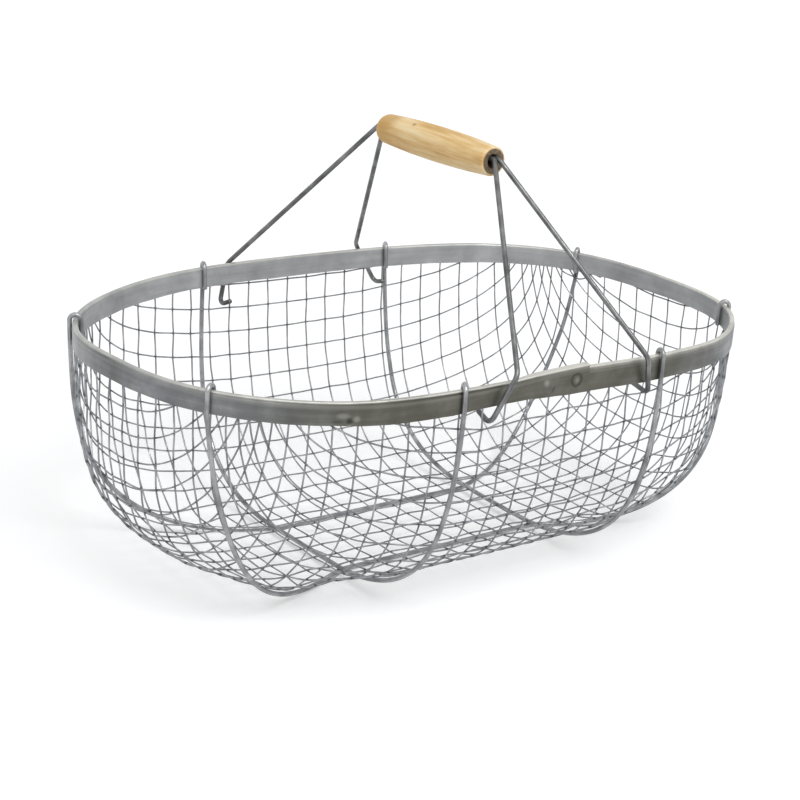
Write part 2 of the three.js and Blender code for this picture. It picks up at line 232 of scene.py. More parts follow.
# Ribs. In tables by side, -1 is the left or the front and 1 is the right or the rear
RIB_RADIUS = 1.7
LONG_RIB_FLOOR = 1.7
CROSS_RIB_FLOOR = 5.4
RIB_OFF_WALL = 3.4
RIB_HOOK_RADIUS = 4.0
RIB_HOOK_CENTRE = 169.4
RIB_HOOK_TWIST = 3.5
RIB_TAIL = 15.0

# Ribs across: X of their foot, their front and their rear end, the foot's shift at the rear, and their bends
CROSS_RIB_X = {-1: 92.4, 1: 85.0}
CROSS_RIB_FRONT_X = {-1: 88.0, 1: 85.0}
CROSS_RIB_REAR_X = {-1: 83.0, 1: 88.5}
CROSS_RIB_REAR_SHIFT = {-1: 0.0, 1: 3.5}
CROSS_RIB_FOOT_Y = 35.6
CROSS_RIB_WALL_Z = 76.9
CROSS_RIB_PULLS = (0.153, 0.536)

# Ribs along: places on the floor by X and Y, on the wall by Y and height, Y of their ends, and their bends
LONG_RIB_FLAT = (88.0, 42.5)
LONG_RIB_FOOT = (108.5, 51.2)
LONG_RIB_WALL_Y = 93.9
LONG_RIB_WALL_Z = 95.7
LONG_RIB_LEFT_Y = {-1: 88.0, 1: 90.2}
LONG_RIB_RIGHT_Y = {-1: 85.5, 1: 83.0}
LONG_RIB_PULLS = (0.418, 0.416)

# Bails
HANDLE_X = 5.0
BAIL_RADIUS = 1.8
BAIL_CENTRE = 1.95
HOOK_SPACING = 73.4
HOOK_BOTTOM = 144.9
HOOK_OUT = 3.4
HOOK_BEND = 4.5
HOOK_TAIL = (15.0, 4.6)
SHOULDER_Z = 178.5
SHOULDER_OUT = 8.6
SHOULDER_BEND = 10.0
GRIP_BEND = 6.0

# How far the hooks of each bail, and the bends above them, are lower, and how far the hooks are to the right
BAIL_FRONT = {
    -1: {"hook_drop": -1.5, "shoulder_drop": 0.0, "sideways": 0.0},
    1: {"hook_drop": -1.5, "shoulder_drop": 4.0, "sideways": -5.0},
}
BAIL_REAR = {
    -1: {"hook_drop": 6.5, "shoulder_drop": 9.5, "sideways": 6.0, "hook_tail": (13.0, 6.6)},
    1: {"hook_drop": 4.0, "shoulder_drop": 6.0, "sideways": 2.0},
}

# Grip, and the gap that it keeps to the bails
CLEARANCE = 0.3
GRIP_Z = 291.5
GRIP_HALF = 62.0
GRIP_MIDDLE_RADIUS = 12.5
GRIP_END_RADIUS = 10.5
GRIP_TAPER_HALF = 59.5
GRIP_FRONT_ROUND = 1.6
GRIP_BACK_ROUND = 7.0
GRIP_BORE = 5.0
GRIP_AMBER = (0.0, 50.0, 301.5)
GRIP_KNOT = (-1.5, 19.6, 302.5)
GRIP_KNOT_SCALE = (1, 0.75, 0.5)
BAIL_TOP = GRIP_Z + math.sqrt((GRIP_BORE - CLEARANCE - BAIL_RADIUS) ** 2 - BAIL_CENTRE ** 2)


# Materials

class Shader:
    """A Principled material and short calls for the nodes that feed it."""

    def __init__(self, name, metallic, roughness):
        self.material = bpy.data.materials.new(name)
        self.material.use_nodes = True
        self.nodes = self.material.node_tree.nodes
        self.links = self.material.node_tree.links
        self.surface = self.nodes["Principled BSDF"]
        self.surface.inputs["Metallic"].default_value = metallic
        self.surface.inputs["Roughness"].default_value = roughness

    def node(self, kind, inputs=None, **settings):
        made = self.nodes.new("ShaderNode" + kind)
        for key, value in settings.items():
            setattr(made, key, value)
        for key, value in (inputs or {}).items():
            if isinstance(value, bpy.types.NodeSocket):
                self.links.new(value, made.inputs[key])
            else:
                made.inputs[key].default_value = value
        return made

    def coords(self, source, scale):
        """Texture coordinates, stretched by scale."""
        place = self.node("TexCoord").outputs[source]
        return self.node("Mapping", {"Vector": place, "Scale": scale}).outputs["Vector"]

    def noise(self, vector, scale, detail=3.0, roughness=0.55):
        return self.node("TexNoise", {
            "Vector": vector, "Scale": scale, "Detail": detail, "Roughness": roughness,
        }).outputs["Fac"]

    def ramp(self, value, *stops):
        """A colour ramp over (place, colour) stops."""
        made = self.node("ValToRGB", {"Fac": value})
        elements = made.color_ramp.elements
        while len(elements) < len(stops):
            elements.new(0.5)
        for element, (place, colour) in zip(elements, stops):
            element.position = place
            element.color = (*colour, 1)
        return made.outputs["Color"]

    def spread(self, value, low, high, to_low=0.0, to_high=1.0):
        """Value, from low to high, spread smoothly over another range."""
        return self.node("MapRange", {
            "Value": value, "From Min": low, "From Max": high, "To Min": to_low, "To Max": to_high,
        }, interpolation_type="SMOOTHSTEP").outputs["Result"]

    def mix(self, share, first, second):
        """One colour mixed into another by a share."""
        made = self.node("Mix", data_type="RGBA")
        for socket, value in ((0, share), (6, first), (7, second)):
            if isinstance(value, bpy.types.NodeSocket):
                self.links.new(value, made.inputs[socket])
            elif socket == 0:
                made.inputs[socket].default_value = value
            else:
                made.inputs[socket].default_value = (*value, 1)
        return made.outputs[2]

    def math(self, operation, first, second=0.0):
        return self.node("Math", {0: first, 1: second}, operation=operation).outputs[0]

    def blend(self, first, first_share, second, second_share):
        """Two values added up by their shares."""
        first = self.math("MULTIPLY", first, first_share)
        return self.math("ADD", first, self.math("MULTIPLY", second, second_share))

    def distance(self, vector, place):
        return self.node("VectorMath", {0: vector, 1: place}, operation="DISTANCE").outputs["Value"]

    def attribute(self, name):
        return self.node("Attribute", attribute_name=name).outputs["Fac"]

    def finish(self, colour, roughness, height, depth, strength):
        """Colour, roughness and bump from nodes."""
        bump = self.node("Bump", {"Height": height, "Strength": strength, "Distance": depth})
        self.links.new(bump.outputs["Normal"], self.surface.inputs["Normal"])
        self.links.new(colour, self.surface.inputs["Base Color"])
        self.links.new(roughness, self.surface.inputs["Roughness"])
        return self.material


def wire_material(name, tones, metallic):
    """Drawn, galvanised wire: zinc blotches, streaks along it, fine pits, and darker zinc with painted shade
    where wires cross.
    """
    dark, middle, light = tones
    shader = Shader(name, metallic, 0.45)
    place = shader.coords("Object", (1, 1, 1))
    along = shader.coords("UV", (60, 9, 1))
    blotch = shader.noise(place, 70, 4)
    streak = shader.noise(along, 1, 4, 0.6)
    pits = shader.noise(place, 900, 2)
    tone = shader.blend(blotch, 0.6, streak, 0.4)
    colour = shader.ramp(tone, (0.36, dark), (0.5, middle), (0.64, light))
    # Darker zinc and painted shade: the wire turns near black where it crosses another wire.
    joint_zinc_and_shade = shader.spread(shader.attribute("joint_zinc_and_shade"), 0.7, 1.0, 0.0, 0.6)
    colour = shader.mix(joint_zinc_and_shade, colour, (0.04, 0.04, 0.045))
    roughness = shader.spread(tone, 0.3, 0.7, 0.42, 0.24)
    height = shader.blend(streak, 0.6, pits, 0.4)
    return shader.finish(colour, roughness, height, depth=0.0003, strength=0.35)


def band_material():
    """Galvanised strip: olive weathering with painted shade at the front, a paler inside as painted light,
    rolled streaks and a painted highlight on the fold.
    """
    shader = Shader("rim_sheet", 0.5, 0.42)
    place = shader.coords("Object", (1, 1, 1))
    streak = shader.noise(shader.coords("UV", (11, 260, 1)), 1, 5, 0.6)
    blotch = shader.noise(place, 38, 5, 0.6)
    dark_patch = shader.noise(shader.coords("Object", (1, 1, 0.5)), 11, 3)
    pits = shader.noise(place, 700, 2)
    tone = shader.blend(streak, 0.35, blotch, 0.65)

    def metal(dark, middle, light):
        return shader.ramp(tone, (0.34, dark), (0.5, middle), (0.66, light))

    # Painted light: the inside is a paler copy of the zinc, for its lit face.
    inside = metal((0.25, 0.26, 0.265), (0.33, 0.34, 0.345), (0.42, 0.43, 0.44))
    olive = metal((0.07, 0.068, 0.052), (0.1, 0.098, 0.079), (0.15, 0.148, 0.127))
    zinc = metal((0.13, 0.138, 0.15), (0.2, 0.211, 0.228), (0.31, 0.324, 0.346))
    # Weathering and painted shade: the outside turns from zinc to a darker olive, most at the middle of the
    # front.
    weather_and_shade = shader.math("ADD", shader.attribute("weather_and_shade"), shader.math("MULTIPLY", dark_patch, 0.5))
    outside = shader.mix(shader.spread(weather_and_shade, 0.4, 1.1), zinc, olive)
    body = shader.mix(shader.attribute("outer"), inside, outside)
    # Painted shade: near black in the crease under the fold, at the marks, and as a dark reflection on the
    # left end.
    painted_shade = shader.math("MULTIPLY", shader.attribute("painted_shade"), shader.spread(blotch, 0.2, 0.6, 0.6, 1.0))
    body = shader.mix(painted_shade, body, (0.03, 0.029, 0.024))
    # Painted highlight: light grey at the marks, along the bead, and as a light reflection on the left end.
    body = shader.mix(shader.attribute("painted_highlight"), body, (0.42, 0.42, 0.39))
    # Painted highlight, with some worn metal: the top fold turns a light cream.
    worn = shader.math("MULTIPLY", shader.attribute("fold"), shader.spread(tone, 0.34, 0.62, 0.5, 0.95))
    worn = shader.math("MULTIPLY", worn, shader.spread(weather_and_shade, 0.2, 1.1, 0.85, 1.0))
    colour = shader.mix(worn, body, (0.7, 0.69, 0.63))
    roughness = shader.spread(tone, 0.3, 0.7, 0.5, 0.34)
    height = shader.blend(streak, 0.7, pits, 0.3)
    return shader.finish(colour, roughness, height, depth=0.0003, strength=0.3)


def wood_material():
    """Pale turned wood: long grain, soft amber patches, one knot, brown end grain."""
    shader = Shader("grip_wood", 0.0, 0.5)
    place = shader.coords("Object", (1, 1, 1))
    grain = shader.noise(shader.coords("Object", (1, 0.045, 1)), 420, 5, 0.6)
    figure = shader.noise(shader.coords("Object", (1, 0.16, 1)), 85, 3)
    patch = shader.noise(shader.coords("Object", (1, 0.5, 1)), 32, 2)
    pores = shader.noise(shader.coords("Object", (1, 0.06, 1)), 1500, 2)
    tone = shader.blend(grain, 0.4, figure, 0.6)
    colour = shader.ramp(
        tone, (0.33, (0.52, 0.28, 0.08)), (0.46, (0.75, 0.5, 0.21)), (0.57, (0.86, 0.66, 0.36)),
        (0.7, (0.92, 0.78, 0.52)))
    colour = shader.mix(shader.spread(patch, 0.5, 0.68, 0.0, 0.65), colour, (0.62, 0.36, 0.1))
    amber = shader.distance(place, [part * MM for part in GRIP_AMBER])
    colour = shader.mix(shader.spread(amber, 0.017, 0.004, 0.0, 0.6), colour, (0.5, 0.27, 0.06))
    knot_middle = [part * scale * MM for part, scale in zip(GRIP_KNOT, GRIP_KNOT_SCALE)]
    knot = shader.distance(shader.coords("Object", GRIP_KNOT_SCALE), knot_middle)
    knot = shader.math("ADD", knot, shader.math("MULTIPLY", grain, 0.0012))
    colour = shader.mix(shader.spread(knot, 0.0024, 0.0012, 0.0, 0.7), colour, (0.28, 0.17, 0.06))
    rings = shader.noise(place, 260, 4)
    end = shader.ramp(rings, (0.35, (0.085, 0.058, 0.032)), (0.65, (0.21, 0.152, 0.085)))
    colour = shader.mix(shader.attribute("end_grain"), colour, end)
    roughness = shader.spread(tone, 0.3, 0.75, 0.6, 0.42)
    height = shader.blend(grain, 0.6, pores, 0.4)
    return shader.finish(colour, roughness, height, depth=0.0004, strength=0.25)


# Bends from use

def bell(value, middle, width):
    """1 at a middle, falling smoothly to nothing a few widths away."""
    return np.exp(-((value - middle) / width) ** 2)


def eased(value, start, end):
    """A smooth step from 0 at a start to 1 at an end."""
    share = np.clip((value - start) / (end - start), 0, 1)
    return share * share * (3 - 2 * share)


def uneven(points):
    """The basket as used: its rim waves by a few millimetres, its right end and rear are pushed in."""
    x, y, z = np.asarray(points, float).T
    high = eased(z, *LIFT_HEIGHTS)
    front = np.clip(-y / SIDE_REACH, 0, 1)
    rear = np.clip(y / SIDE_REACH, 0, 1)
    lift = -CORNER_DIP * bell(y, CORNER_Y, CORNER_WIDTH) * eased(-x, *CORNER_RANGE)
    for side, lifts in ((front, FRONT_LIFTS), (rear, REAR_LIFTS)):
        lift += side * sum(size * bell(x, place, width) for size, place, width in lifts)
    near = np.clip(0.5 - y / END_FADE, 0, 1)
    bent = high + (np.clip(z / END_LOW, 0, 1) - high) * near
    inward = END_PUSH * np.clip((x - END_START) / END_LENGTH, 0, 1) ** END_POWER * bent
    belly = np.clip(4 * z / TOP * (1 - z / TOP), 0, 1)
    return np.stack([x - inward, y - REAR_PUSH * rear * belly, z + high * lift], 1)


# Meshes

def add_piece(name, points, faces, material, body, nodes, uv=None, values=None):
    """A smooth mesh piece that stands for CAD nodes. uv and values hold one row per point."""
    mesh = bpy.data.meshes.new(name)
    points = uneven(points) if body == "basket" else np.asarray(points)
    mesh.from_pydata((points * MM).tolist(), [], faces)
    corners = np.zeros(len(mesh.loops), int)
    mesh.loops.foreach_get("vertex_index", corners)
    if uv is not None:
        layer = mesh.uv_layers.new(name="UVMap")
        layer.data.foreach_set("uv", np.asarray(uv, float)[corners].ravel())
    for key, column in (values or {}).items():
        stored = mesh.attributes.new(key, "FLOAT", "POINT")
        stored.data.foreach_set("value", np.asarray(column, float).ravel())
    mesh.polygons.foreach_set("use_smooth", np.ones(len(mesh.polygons), bool))
    mesh.set_sharp_from_angle(angle=math.radians(48))
    mesh.materials.append(material)
    mesh.update()
    piece = bpy.data.objects.new(name, mesh)
    bpy.context.scene.collection.objects.link(piece)
    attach(piece, body)
    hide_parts(*nodes)


def unit(vectors):
    return vectors / np.linalg.norm(vectors, axis=-1, keepdims=True)


def distances(path):
    """How far along a path each of its points is."""
    return np.concatenate([[0], np.cumsum(np.linalg.norm(np.diff(path, axis=0), axis=1))])


def round_wire(path, radius, side_axis, sides=16, end_round=0.35):
    """Points, faces and UVs of a closed round wire with eased ends."""
    path = np.asarray(path, float)
    ahead = unit(np.diff(path, axis=0))
    first, last = path[0], path[-1]
    ease = end_round * radius
    path = np.vstack([first, first + ease * ahead[0], path[1:-1], last - ease * ahead[-1], last])
    size = np.full(len(path), radius)
    size[[0, -1]] = radius - ease
    along = unit(np.vstack([path[1] - path[0], path[2:] - path[:-2], path[-1] - path[-2]]))
    across = unit(side_axis - along * (along @ side_axis)[:, None])
    over = np.cross(along, across)
    turn = np.arange(sides) * 2 * np.pi / sides
    ring = np.cos(turn)[None, :, None] * across[:, None] + np.sin(turn)[None, :, None] * over[:, None]
    points = path[:, None] + ring * size[:, None, None]
    return tube_mesh(points, path)


def tube_mesh(points, path):
    """Points, faces and UVs of a tube through rings of points, capped at both ends."""
    rings, sides = points.shape[:2]
    faces = []
    for i in range(rings - 1):
        for j in range(sides):
            k = (j + 1) % sides
            faces.append((i * sides + j, i * sides + k, (i + 1) * sides + k, (i + 1) * sides + j))
    faces.append(tuple(range(sides - 1, -1, -1)))
    faces.append(tuple(range((rings - 1) * sides, rings * sides)))
    length = distances(path) * MM
    around = np.abs(np.arange(sides) / sides * 2 - 1)
    uv = np.stack(np.broadcast_arrays(length[:, None], around[None, :]), -1)
    return points.reshape(-1, 3), faces, uv.reshape(-1, 2)


# Shape of the bowl

def plan_at(z):
    """Half length and half width of the bowl at a height."""
    drop = np.clip((TOP - z) / (TOP - FLOOR_Z), 0, 1)
    length, width = [(1 - drop ** power) ** (1 / power) for power in BOWL]
    return FLOOR[0] + (RIM[0] - FLOOR[0]) * length, FLOOR[1] + (RIM[1] - FLOOR[1]) * width


def beyond(points):
    """More than 1 outside the bowl, less than 1 inside it."""
    length, width = plan_at(points[..., 2])
    return (np.abs(points[..., 0]) / length) ** OVAL + (np.abs(points[..., 1]) / width) ** OVAL


def wall_normal(points, step=0.01):
    """Outward direction of the wall; straight down on the flat of the floor."""
    points = np.asarray(points, float)
    slopes = [beyond(points + step * axis) - beyond(points - step * axis) for axis in np.eye(3)]
    slopes = np.stack(slopes, -1)
    flat = (points[..., 2] < FLOOR_Z + 2 * step) | ~np.isfinite(slopes).all(-1)
    slopes[flat] = (0, 0, -1)
    return unit(slopes)


def reach(place, place_half, reach_half):
    """How far an oval reaches to one side at a place along the other."""
    return reach_half * (1 - (abs(place) / place_half) ** OVAL) ** (1 / OVAL)


def wall_at_y(y, z):
    length, width = plan_at(z)
    return reach(y, width, length)


def wall_at_x(x, z):
    length, width = plan_at(z)
    return reach(x, length, width)


def rim_normal(points):
    """Outward direction of the rim in plan."""
    scaled = points[..., :2] / RIM
    return unit(np.sign(scaled) * np.abs(scaled) ** (OVAL - 1) / RIM)


# Rib wires

def rib_half(floor_point, foot_point, wall_z, wall_side, rim_side, pulls, on_wall, twist):
    """Half a rib: along the floor, up the wall, over the rim and down inside the band."""
    share = np.linspace(0, 1, 26)
    heights = wall_z + (BAND_BOTTOM - wall_z) * share
    climb = np.array([on_wall(wall_side + (rim_side - wall_side) * s, z) for s, z in zip(share, heights)])
    climb += wall_normal(climb) * (RIB_OFF_WALL + (RIB_HOOK_RADIUS - RIB_OFF_WALL) * share)[:, None]
    leaving, rising = unit(foot_point - floor_point), unit(climb[5] - climb[0])
    span = np.linalg.norm(climb[0] - foot_point)
    foot_pull = foot_point + leaving * pulls[0] * span
    wall_pull = climb[0] - rising * pulls[1] * span
    t = np.linspace(0, 1, 41)[:, None]
    corner = (1 - t) ** 3 * foot_point + 3 * t * (1 - t) ** 2 * foot_pull
    corner += 3 * t * t * (1 - t) * wall_pull + t ** 3 * climb[0]
    rim_point = np.array(on_wall(rim_side, TOP))
    outward = np.append(rim_normal(rim_point), 0)
    turn = np.linspace(0, np.pi, 19)[:, None]
    hook = rim_point * (1, 1, 0) + outward * RIB_HOOK_RADIUS * np.cos(turn)
    hook[:, 0] += twist * (1 - np.cos(turn[:, 0])) / 2
    hook[:, 2] = RIB_HOOK_CENTRE + RIB_HOOK_RADIUS * np.sin(turn[:, 0])
    tip = hook[-1] * (1, 1, 0) + (0, 0, RIB_HOOK_CENTRE - RIB_TAIL)
    return np.vstack([floor_point, corner, climb[1:], hook, tip])


def joined(one, other):
    """One path from two halves that both start in the middle."""
    return np.vstack([one[::-1], other])


def long_rib(side):
    """A rib along the bowl, at the front or at the rear, and the axis across it."""
    def on_wall(y, z):
        return wall_at_y(y, z), side * y, z

    flat, foot = [np.array([x, side * y, LONG_RIB_FLOOR]) for x, y in (LONG_RIB_FLAT, LONG_RIB_FOOT)]
    halves = []
    for towards, rim_y in ((-1, LONG_RIB_LEFT_Y[side]), (1, LONG_RIB_RIGHT_Y[side])):
        half = rib_half(flat, foot, LONG_RIB_WALL_Z, LONG_RIB_WALL_Y, rim_y, LONG_RIB_PULLS, on_wall, 0)
        halves.append(half * (towards, 1, 1))
    return joined(*halves), np.array([0, 1, 0])


def cross_rib(side):
    """A rib across the bowl, whose ends don't quite face each other, and the axis across it."""
    def on_wall(x, z):
        return side * x, wall_at_x(x, z), z

    foot_x = side * CROSS_RIB_X[side]
    ends = (-1, CROSS_RIB_FRONT_X[side], 0), (1, CROSS_RIB_REAR_X[side], CROSS_RIB_REAR_SHIFT[side])
    halves = []
    for towards, rim_x, shift in ends:
        flat = np.array([foot_x + shift / 2, CROSS_RIB_FOOT_Y / 2, CROSS_RIB_FLOOR])
        foot = np.array([foot_x + shift, CROSS_RIB_FOOT_Y, CROSS_RIB_FLOOR])
        wall_x = (CROSS_RIB_X[side] + rim_x) / 2 + side * shift
        twist = -towards * RIB_HOOK_TWIST
        half = rib_half(flat, foot, CROSS_RIB_WALL_Z, wall_x, rim_x, CROSS_RIB_PULLS, on_wall, twist)
        halves.append(half * (1, towards, 1))
    return joined(*halves), np.array([1, 0, 0])


def all_ribs():
    """Middle line of each rib and the axis across it, by its CAD node."""
    return {
        "front_long_rib": long_rib(-1), "rear_long_rib": long_rib(1),
        "left_cross_rib": cross_rib(-1), "right_cross_rib": cross_rib(1),
    }


def rib_bends():
    """Points along the ribs where they bend up from the floor and climb the wall."""
    points = []
    for path, _ in all_ribs().values():
        distance = distances(path)
        stops = np.arange(0, distance[-1], BEND_STEP)
        points.append(np.stack([np.interp(stops, distance, path[:, k]) for k in range(3)], 1))
    points = np.vstack(points)
    return points[(points[:, 2] > BEND_LOW) & (points[:, 2] < BAND_BOTTOM - BEND_UNDER_BAND)]


def make_ribs(material):
    for node, (path, side_axis) in all_ribs().items():
        points, faces, uv = round_wire(path, RIB_RADIUS, side_axis)
        add_piece(node + "_wire", points, faces, material, "basket", [node], uv)


# Woven wire cloth

def profile(axis, distance):
    """Places on the bowl's middle line along X or Y, by distance from the middle of the floor."""
    turn = np.linspace(0, np.pi / 2, 2000)
    swell = np.sin(turn) ** (2 / BOWL[axis])
    drop = np.cos(turn).clip(0) ** (2 / BOWL[axis])
    out = np.concatenate([[0], FLOOR[axis] + (RIM[axis] - FLOOR[axis]) * swell, [RIM[axis]]])
    z = np.concatenate([[FLOOR_Z], TOP - (TOP - FLOOR_Z) * drop, [TOP + NET_UPWARD]])
    arc = np.concatenate([[0], np.cumsum(np.hypot(np.diff(out), np.diff(z)))])
    places = np.zeros((len(distance), 3))
    places[:, axis] = np.interp(distance, arc, out)
    places[:, 2] = np.interp(distance, arc, z)
    return places


def pressed_net():
    """A quarter of the cloth pressed into the bowl: a net whose cells keep their sides and shear."""
    length, width = NET_COUNT
    grid = np.full((length, width, 3), np.nan)
    grid[:, 0] = profile(0, np.arange(length) * NET_STEP)
    grid[0] = profile(1, np.arange(width) * NET_STEP)
    for diagonal in range(2, length + width - 1):
        i = np.arange(max(1, diagonal - width + 1), min(length - 1, diagonal - 1) + 1)
        j = diagonal - i
        one, other, behind = grid[i - 1, j], grid[i, j - 1], grid[i - 1, j - 1]
        middle = (one + other) / 2
        span = np.linalg.norm(other - one, axis=1)
        axis = (other - one) / span[:, None]
        arm = np.sqrt(np.maximum(NET_STEP ** 2 - span ** 2 / 4, 0))[:, None]
        onward = middle - behind
        onward = unit(onward - axis * (onward * axis).sum(1)[:, None])
        inward = np.cross(axis, onward)
        inward *= np.where(inward[:, 2] < 0, -1, 1)[:, None]
        low, high = np.full(len(i), -NET_TURN), np.full(len(i), NET_TURN)
        for _ in range(NET_HALVINGS):
            turn = (low + high) / 2
            points = middle + arm * (np.cos(turn)[:, None] * onward + np.sin(turn)[:, None] * inward)
            out = (points[:, 2] < FLOOR_Z) | (beyond(points) > 1)
            low, high = np.where(out, turn, low), np.where(out, high, turn)
        points[points[:, 2] > TOP + NET_ABOVE] = np.nan
        grid[i, j] = points
    return grid


def on_cloth(net, across, along):
    """Places on the cloth by distance along both families of wires from the middle of the floor."""
    i, j = np.abs(across) / NET_STEP, np.abs(along) / NET_STEP
    low_i = np.minimum(i.astype(int), net.shape[0] - 2)
    low_j = np.minimum(j.astype(int), net.shape[1] - 2)
    share_i, share_j = (i - low_i)[:, None], (j - low_j)[:, None]
    places = (net[low_i, low_j] * (1 - share_i) + net[low_i + 1, low_j] * share_i) * (1 - share_j)
    places += (net[low_i, low_j + 1] * (1 - share_i) + net[low_i + 1, low_j + 1] * share_i) * share_j
    places *= np.stack([np.sign(across), np.sign(along), np.ones(len(across))], 1)
    wall = places[:, 2] > WALL_FOOT
    places[wall, :2] *= beyond(places[wall])[:, None] ** (-1 / OVAL)
    return places


def resting(points, bends):
    """Places on the cloth, drawn out to the ribs that carry it."""
    out = wall_normal(points)
    away = bends[None] - points[:, None]
    gap = (away * out[:, None]).sum(-1)
    aside = np.linalg.norm(away - gap[..., None] * out[:, None], axis=-1)
    pull = bell(aside, 0, REST_REACH) * np.clip(gap - REST_GAP, 0, REST_LIMIT)
    return points + out * pull.max(1)[:, None]


def smooth_path(points, steps):
    """A smooth curve through points, with a number of steps between them."""
    before = np.vstack([2 * points[0] - points[1], points[:-2]])
    after = np.vstack([points[2:], 2 * points[-1] - points[-2]])
    start, end = points[:-1], points[1:]
    rows = []
    for share in np.arange(steps) / steps:
        rows.append(0.5 * (
            2 * start + (end - before) * share + (2 * before - 5 * start + 4 * end - after) * share ** 2
            + (3 * start - before - 3 * end + after) * share ** 3))
    return np.vstack([np.stack(rows, 1).reshape(-1, 3), points[-1:]])


def below_band(path):
    """The runs of a path under the top of the cloth, cut off level, without short stubs under the band."""
    low = np.isfinite(path[:, 2]) & (path[:, 2] < CLOTH_TOP)
    change = np.flatnonzero(np.diff(np.concatenate([[0], low.astype(int), [0]])))
    runs = []
    for first, last in zip(change[::2], change[1::2] - 1):
        run = [path[first:last + 1]]
        for edge, outer in ((first, first - 1), (last, last + 1)):
            if 0 <= outer < len(path) and np.isfinite(path[outer, 2]):
                share = (CLOTH_TOP - path[edge, 2]) / (path[outer, 2] - path[edge, 2])
                end = (path[edge] + share * (path[outer] - path[edge]))[None]
                run = [end] + run if outer < edge else run + [end]
        run = np.vstack(run)
        lowest = run[:, 2].min()
        long_enough = len(run) > STUB_POINTS and lowest < BAND_BOTTOM
        if long_enough or lowest < BAND_BOTTOM - STUB_HEIGHT:
            runs.append(run)
    return runs


def cloth_wires():
    """Woven wires: places on their middle lines, each with a share of darker zinc and painted shade that is
    1 where wires cross.
    """
    net = pressed_net()
    bends = rib_bends()
    slack = random.normal(0, SLACK, (len(CROSS_NUMBERS), len(LONG_NUMBERS), 2))
    slack = slack.clip(-SLACK_LIMIT, SLACK_LIMIT)
    hooks = np.array([HANDLE_X - HOOK_SPACING, HANDLE_X + HOOK_SPACING])

    def places(cross, long, shift):
        along = LONG_START - LONG_PITCH * long + shift[:, 1]
        across = CROSS_START + CROSS_PITCH * cross + CROSS_SKEW * along + shift[:, 0]
        dip = HOOK_DIP * bell(across[:, None], hooks, HOOK_DIP_WIDTH).max(1)
        kinks = np.clip((across[:, None] - FRONT_KINKS) / KINK_LENGTH, 0, 1).sum(1)
        along = along + np.isclose(long, FRONT_WIRE) * (dip + FRONT_WIRE_DROP - KINK_RISE * kinks)
        return on_cloth(net, across, along)

    def woven(cross, long, shift, lift):
        points = places(cross, long, shift)
        good = np.isfinite(points).all(1)
        if good.sum() < 4:
            return []
        first, last = np.flatnonzero(good)[[0, -1]]
        points, lift = resting(points[first:last + 1], bends), lift[first:last + 1]
        path = smooth_path(points + lift[:, None] * wall_normal(points), 2)
        # Share of darker zinc and painted shade: 1 where this wire crosses another, 0 half way between.
        joint_zinc_and_shade = 0.5 + 0.5 * np.cos(np.pi * (first + np.arange(len(path)) / 2))
        return below_band(np.column_stack([path, joint_zinc_and_shade]))

    def doubled(values):
        """Values at the crossings, with zero between them."""
        spaced = np.zeros((2 * len(values) - 1, *values.shape[1:]))
        spaced[::2] = values
        return spaced

    def halved(numbers):
        """The numbers of the wires and the places half way between them."""
        return np.linspace(numbers[0], numbers[-1], 2 * len(numbers) - 1)

    paths = []
    crosses, longs = halved(CROSS_NUMBERS), halved(LONG_NUMBERS)
    for i, cross in enumerate(CROSS_NUMBERS):
        lift = doubled(WEAVE_LIFT * (-1.0) ** (cross + LONG_NUMBERS))
        paths += woven(np.full(len(longs), cross), longs, doubled(slack[i]), lift)
    for j, long in enumerate(LONG_NUMBERS):
        lift = doubled(-WEAVE_LIFT * (-1.0) ** (CROSS_NUMBERS + long))
        paths += woven(crosses, np.full(len(crosses), long), doubled(slack[:, j]), lift)
    return paths


def make_cloth(material):
    points, faces, uvs, joint_zinc_and_shades = [], [], [], []
    count = 0
    for path in cloth_wires():
        wire_points, wire_faces, wire_uv = cloth_wire(path[:, :3])
        joint_zinc_and_shades.append(np.repeat(path[:, 3], len(wire_points) // len(path)))
        points.append(wire_points)
        uvs.append(wire_uv)
        faces.extend(tuple(corner + count for corner in face) for face in wire_faces)
        count += len(wire_points)
    add_piece("woven_cloth", np.vstack(points), faces, material, "basket", ["mesh_body"],
              np.vstack(uvs), {"joint_zinc_and_shade": np.concatenate(joint_zinc_and_shades)})


def cloth_wire(path, sides=6):
    """One thin wire of the cloth, whose rings follow it without twisting."""
    along = unit(np.vstack([path[1] - path[0], path[2:] - path[:-2], path[-1] - path[-2]]))
    any_direction = (0.3, 0.5, 0.8)
    across = np.cross(along[0], any_direction)
    rows = []
    turn = np.arange(sides) * 2 * np.pi / sides
    for place, ahead in zip(path, along):
        across = unit(across - ahead * across.dot(ahead))
        over = np.cross(ahead, across)
        rows.append(place + CLOTH_WIRE / 2 * (np.cos(turn)[:, None] * across + np.sin(turn)[:, None] * over))
    return tube_mesh(np.array(rows), path)


# Bail wires

def rounded(before, corner, after, radius, steps=14):
    """Points of a corner rounded off between two straight runs in a plane."""
    back, ahead = unit(before - corner), unit(after - corner)
    half = math.acos(back @ ahead) / 2
    centre = corner + unit(back + ahead) * radius / math.sin(half)
    start = corner + back * radius / math.tan(half) - centre
    turn = np.sign(back[0] * ahead[1] - back[1] * ahead[0]) * (2 * half - math.pi)
    angle = np.linspace(0, turn, steps)
    turned_x = start[0] * np.cos(angle) - start[1] * np.sin(angle)
    turned_y = start[0] * np.sin(angle) + start[1] * np.cos(angle)
    return centre + np.stack([turned_x, turned_y], 1)


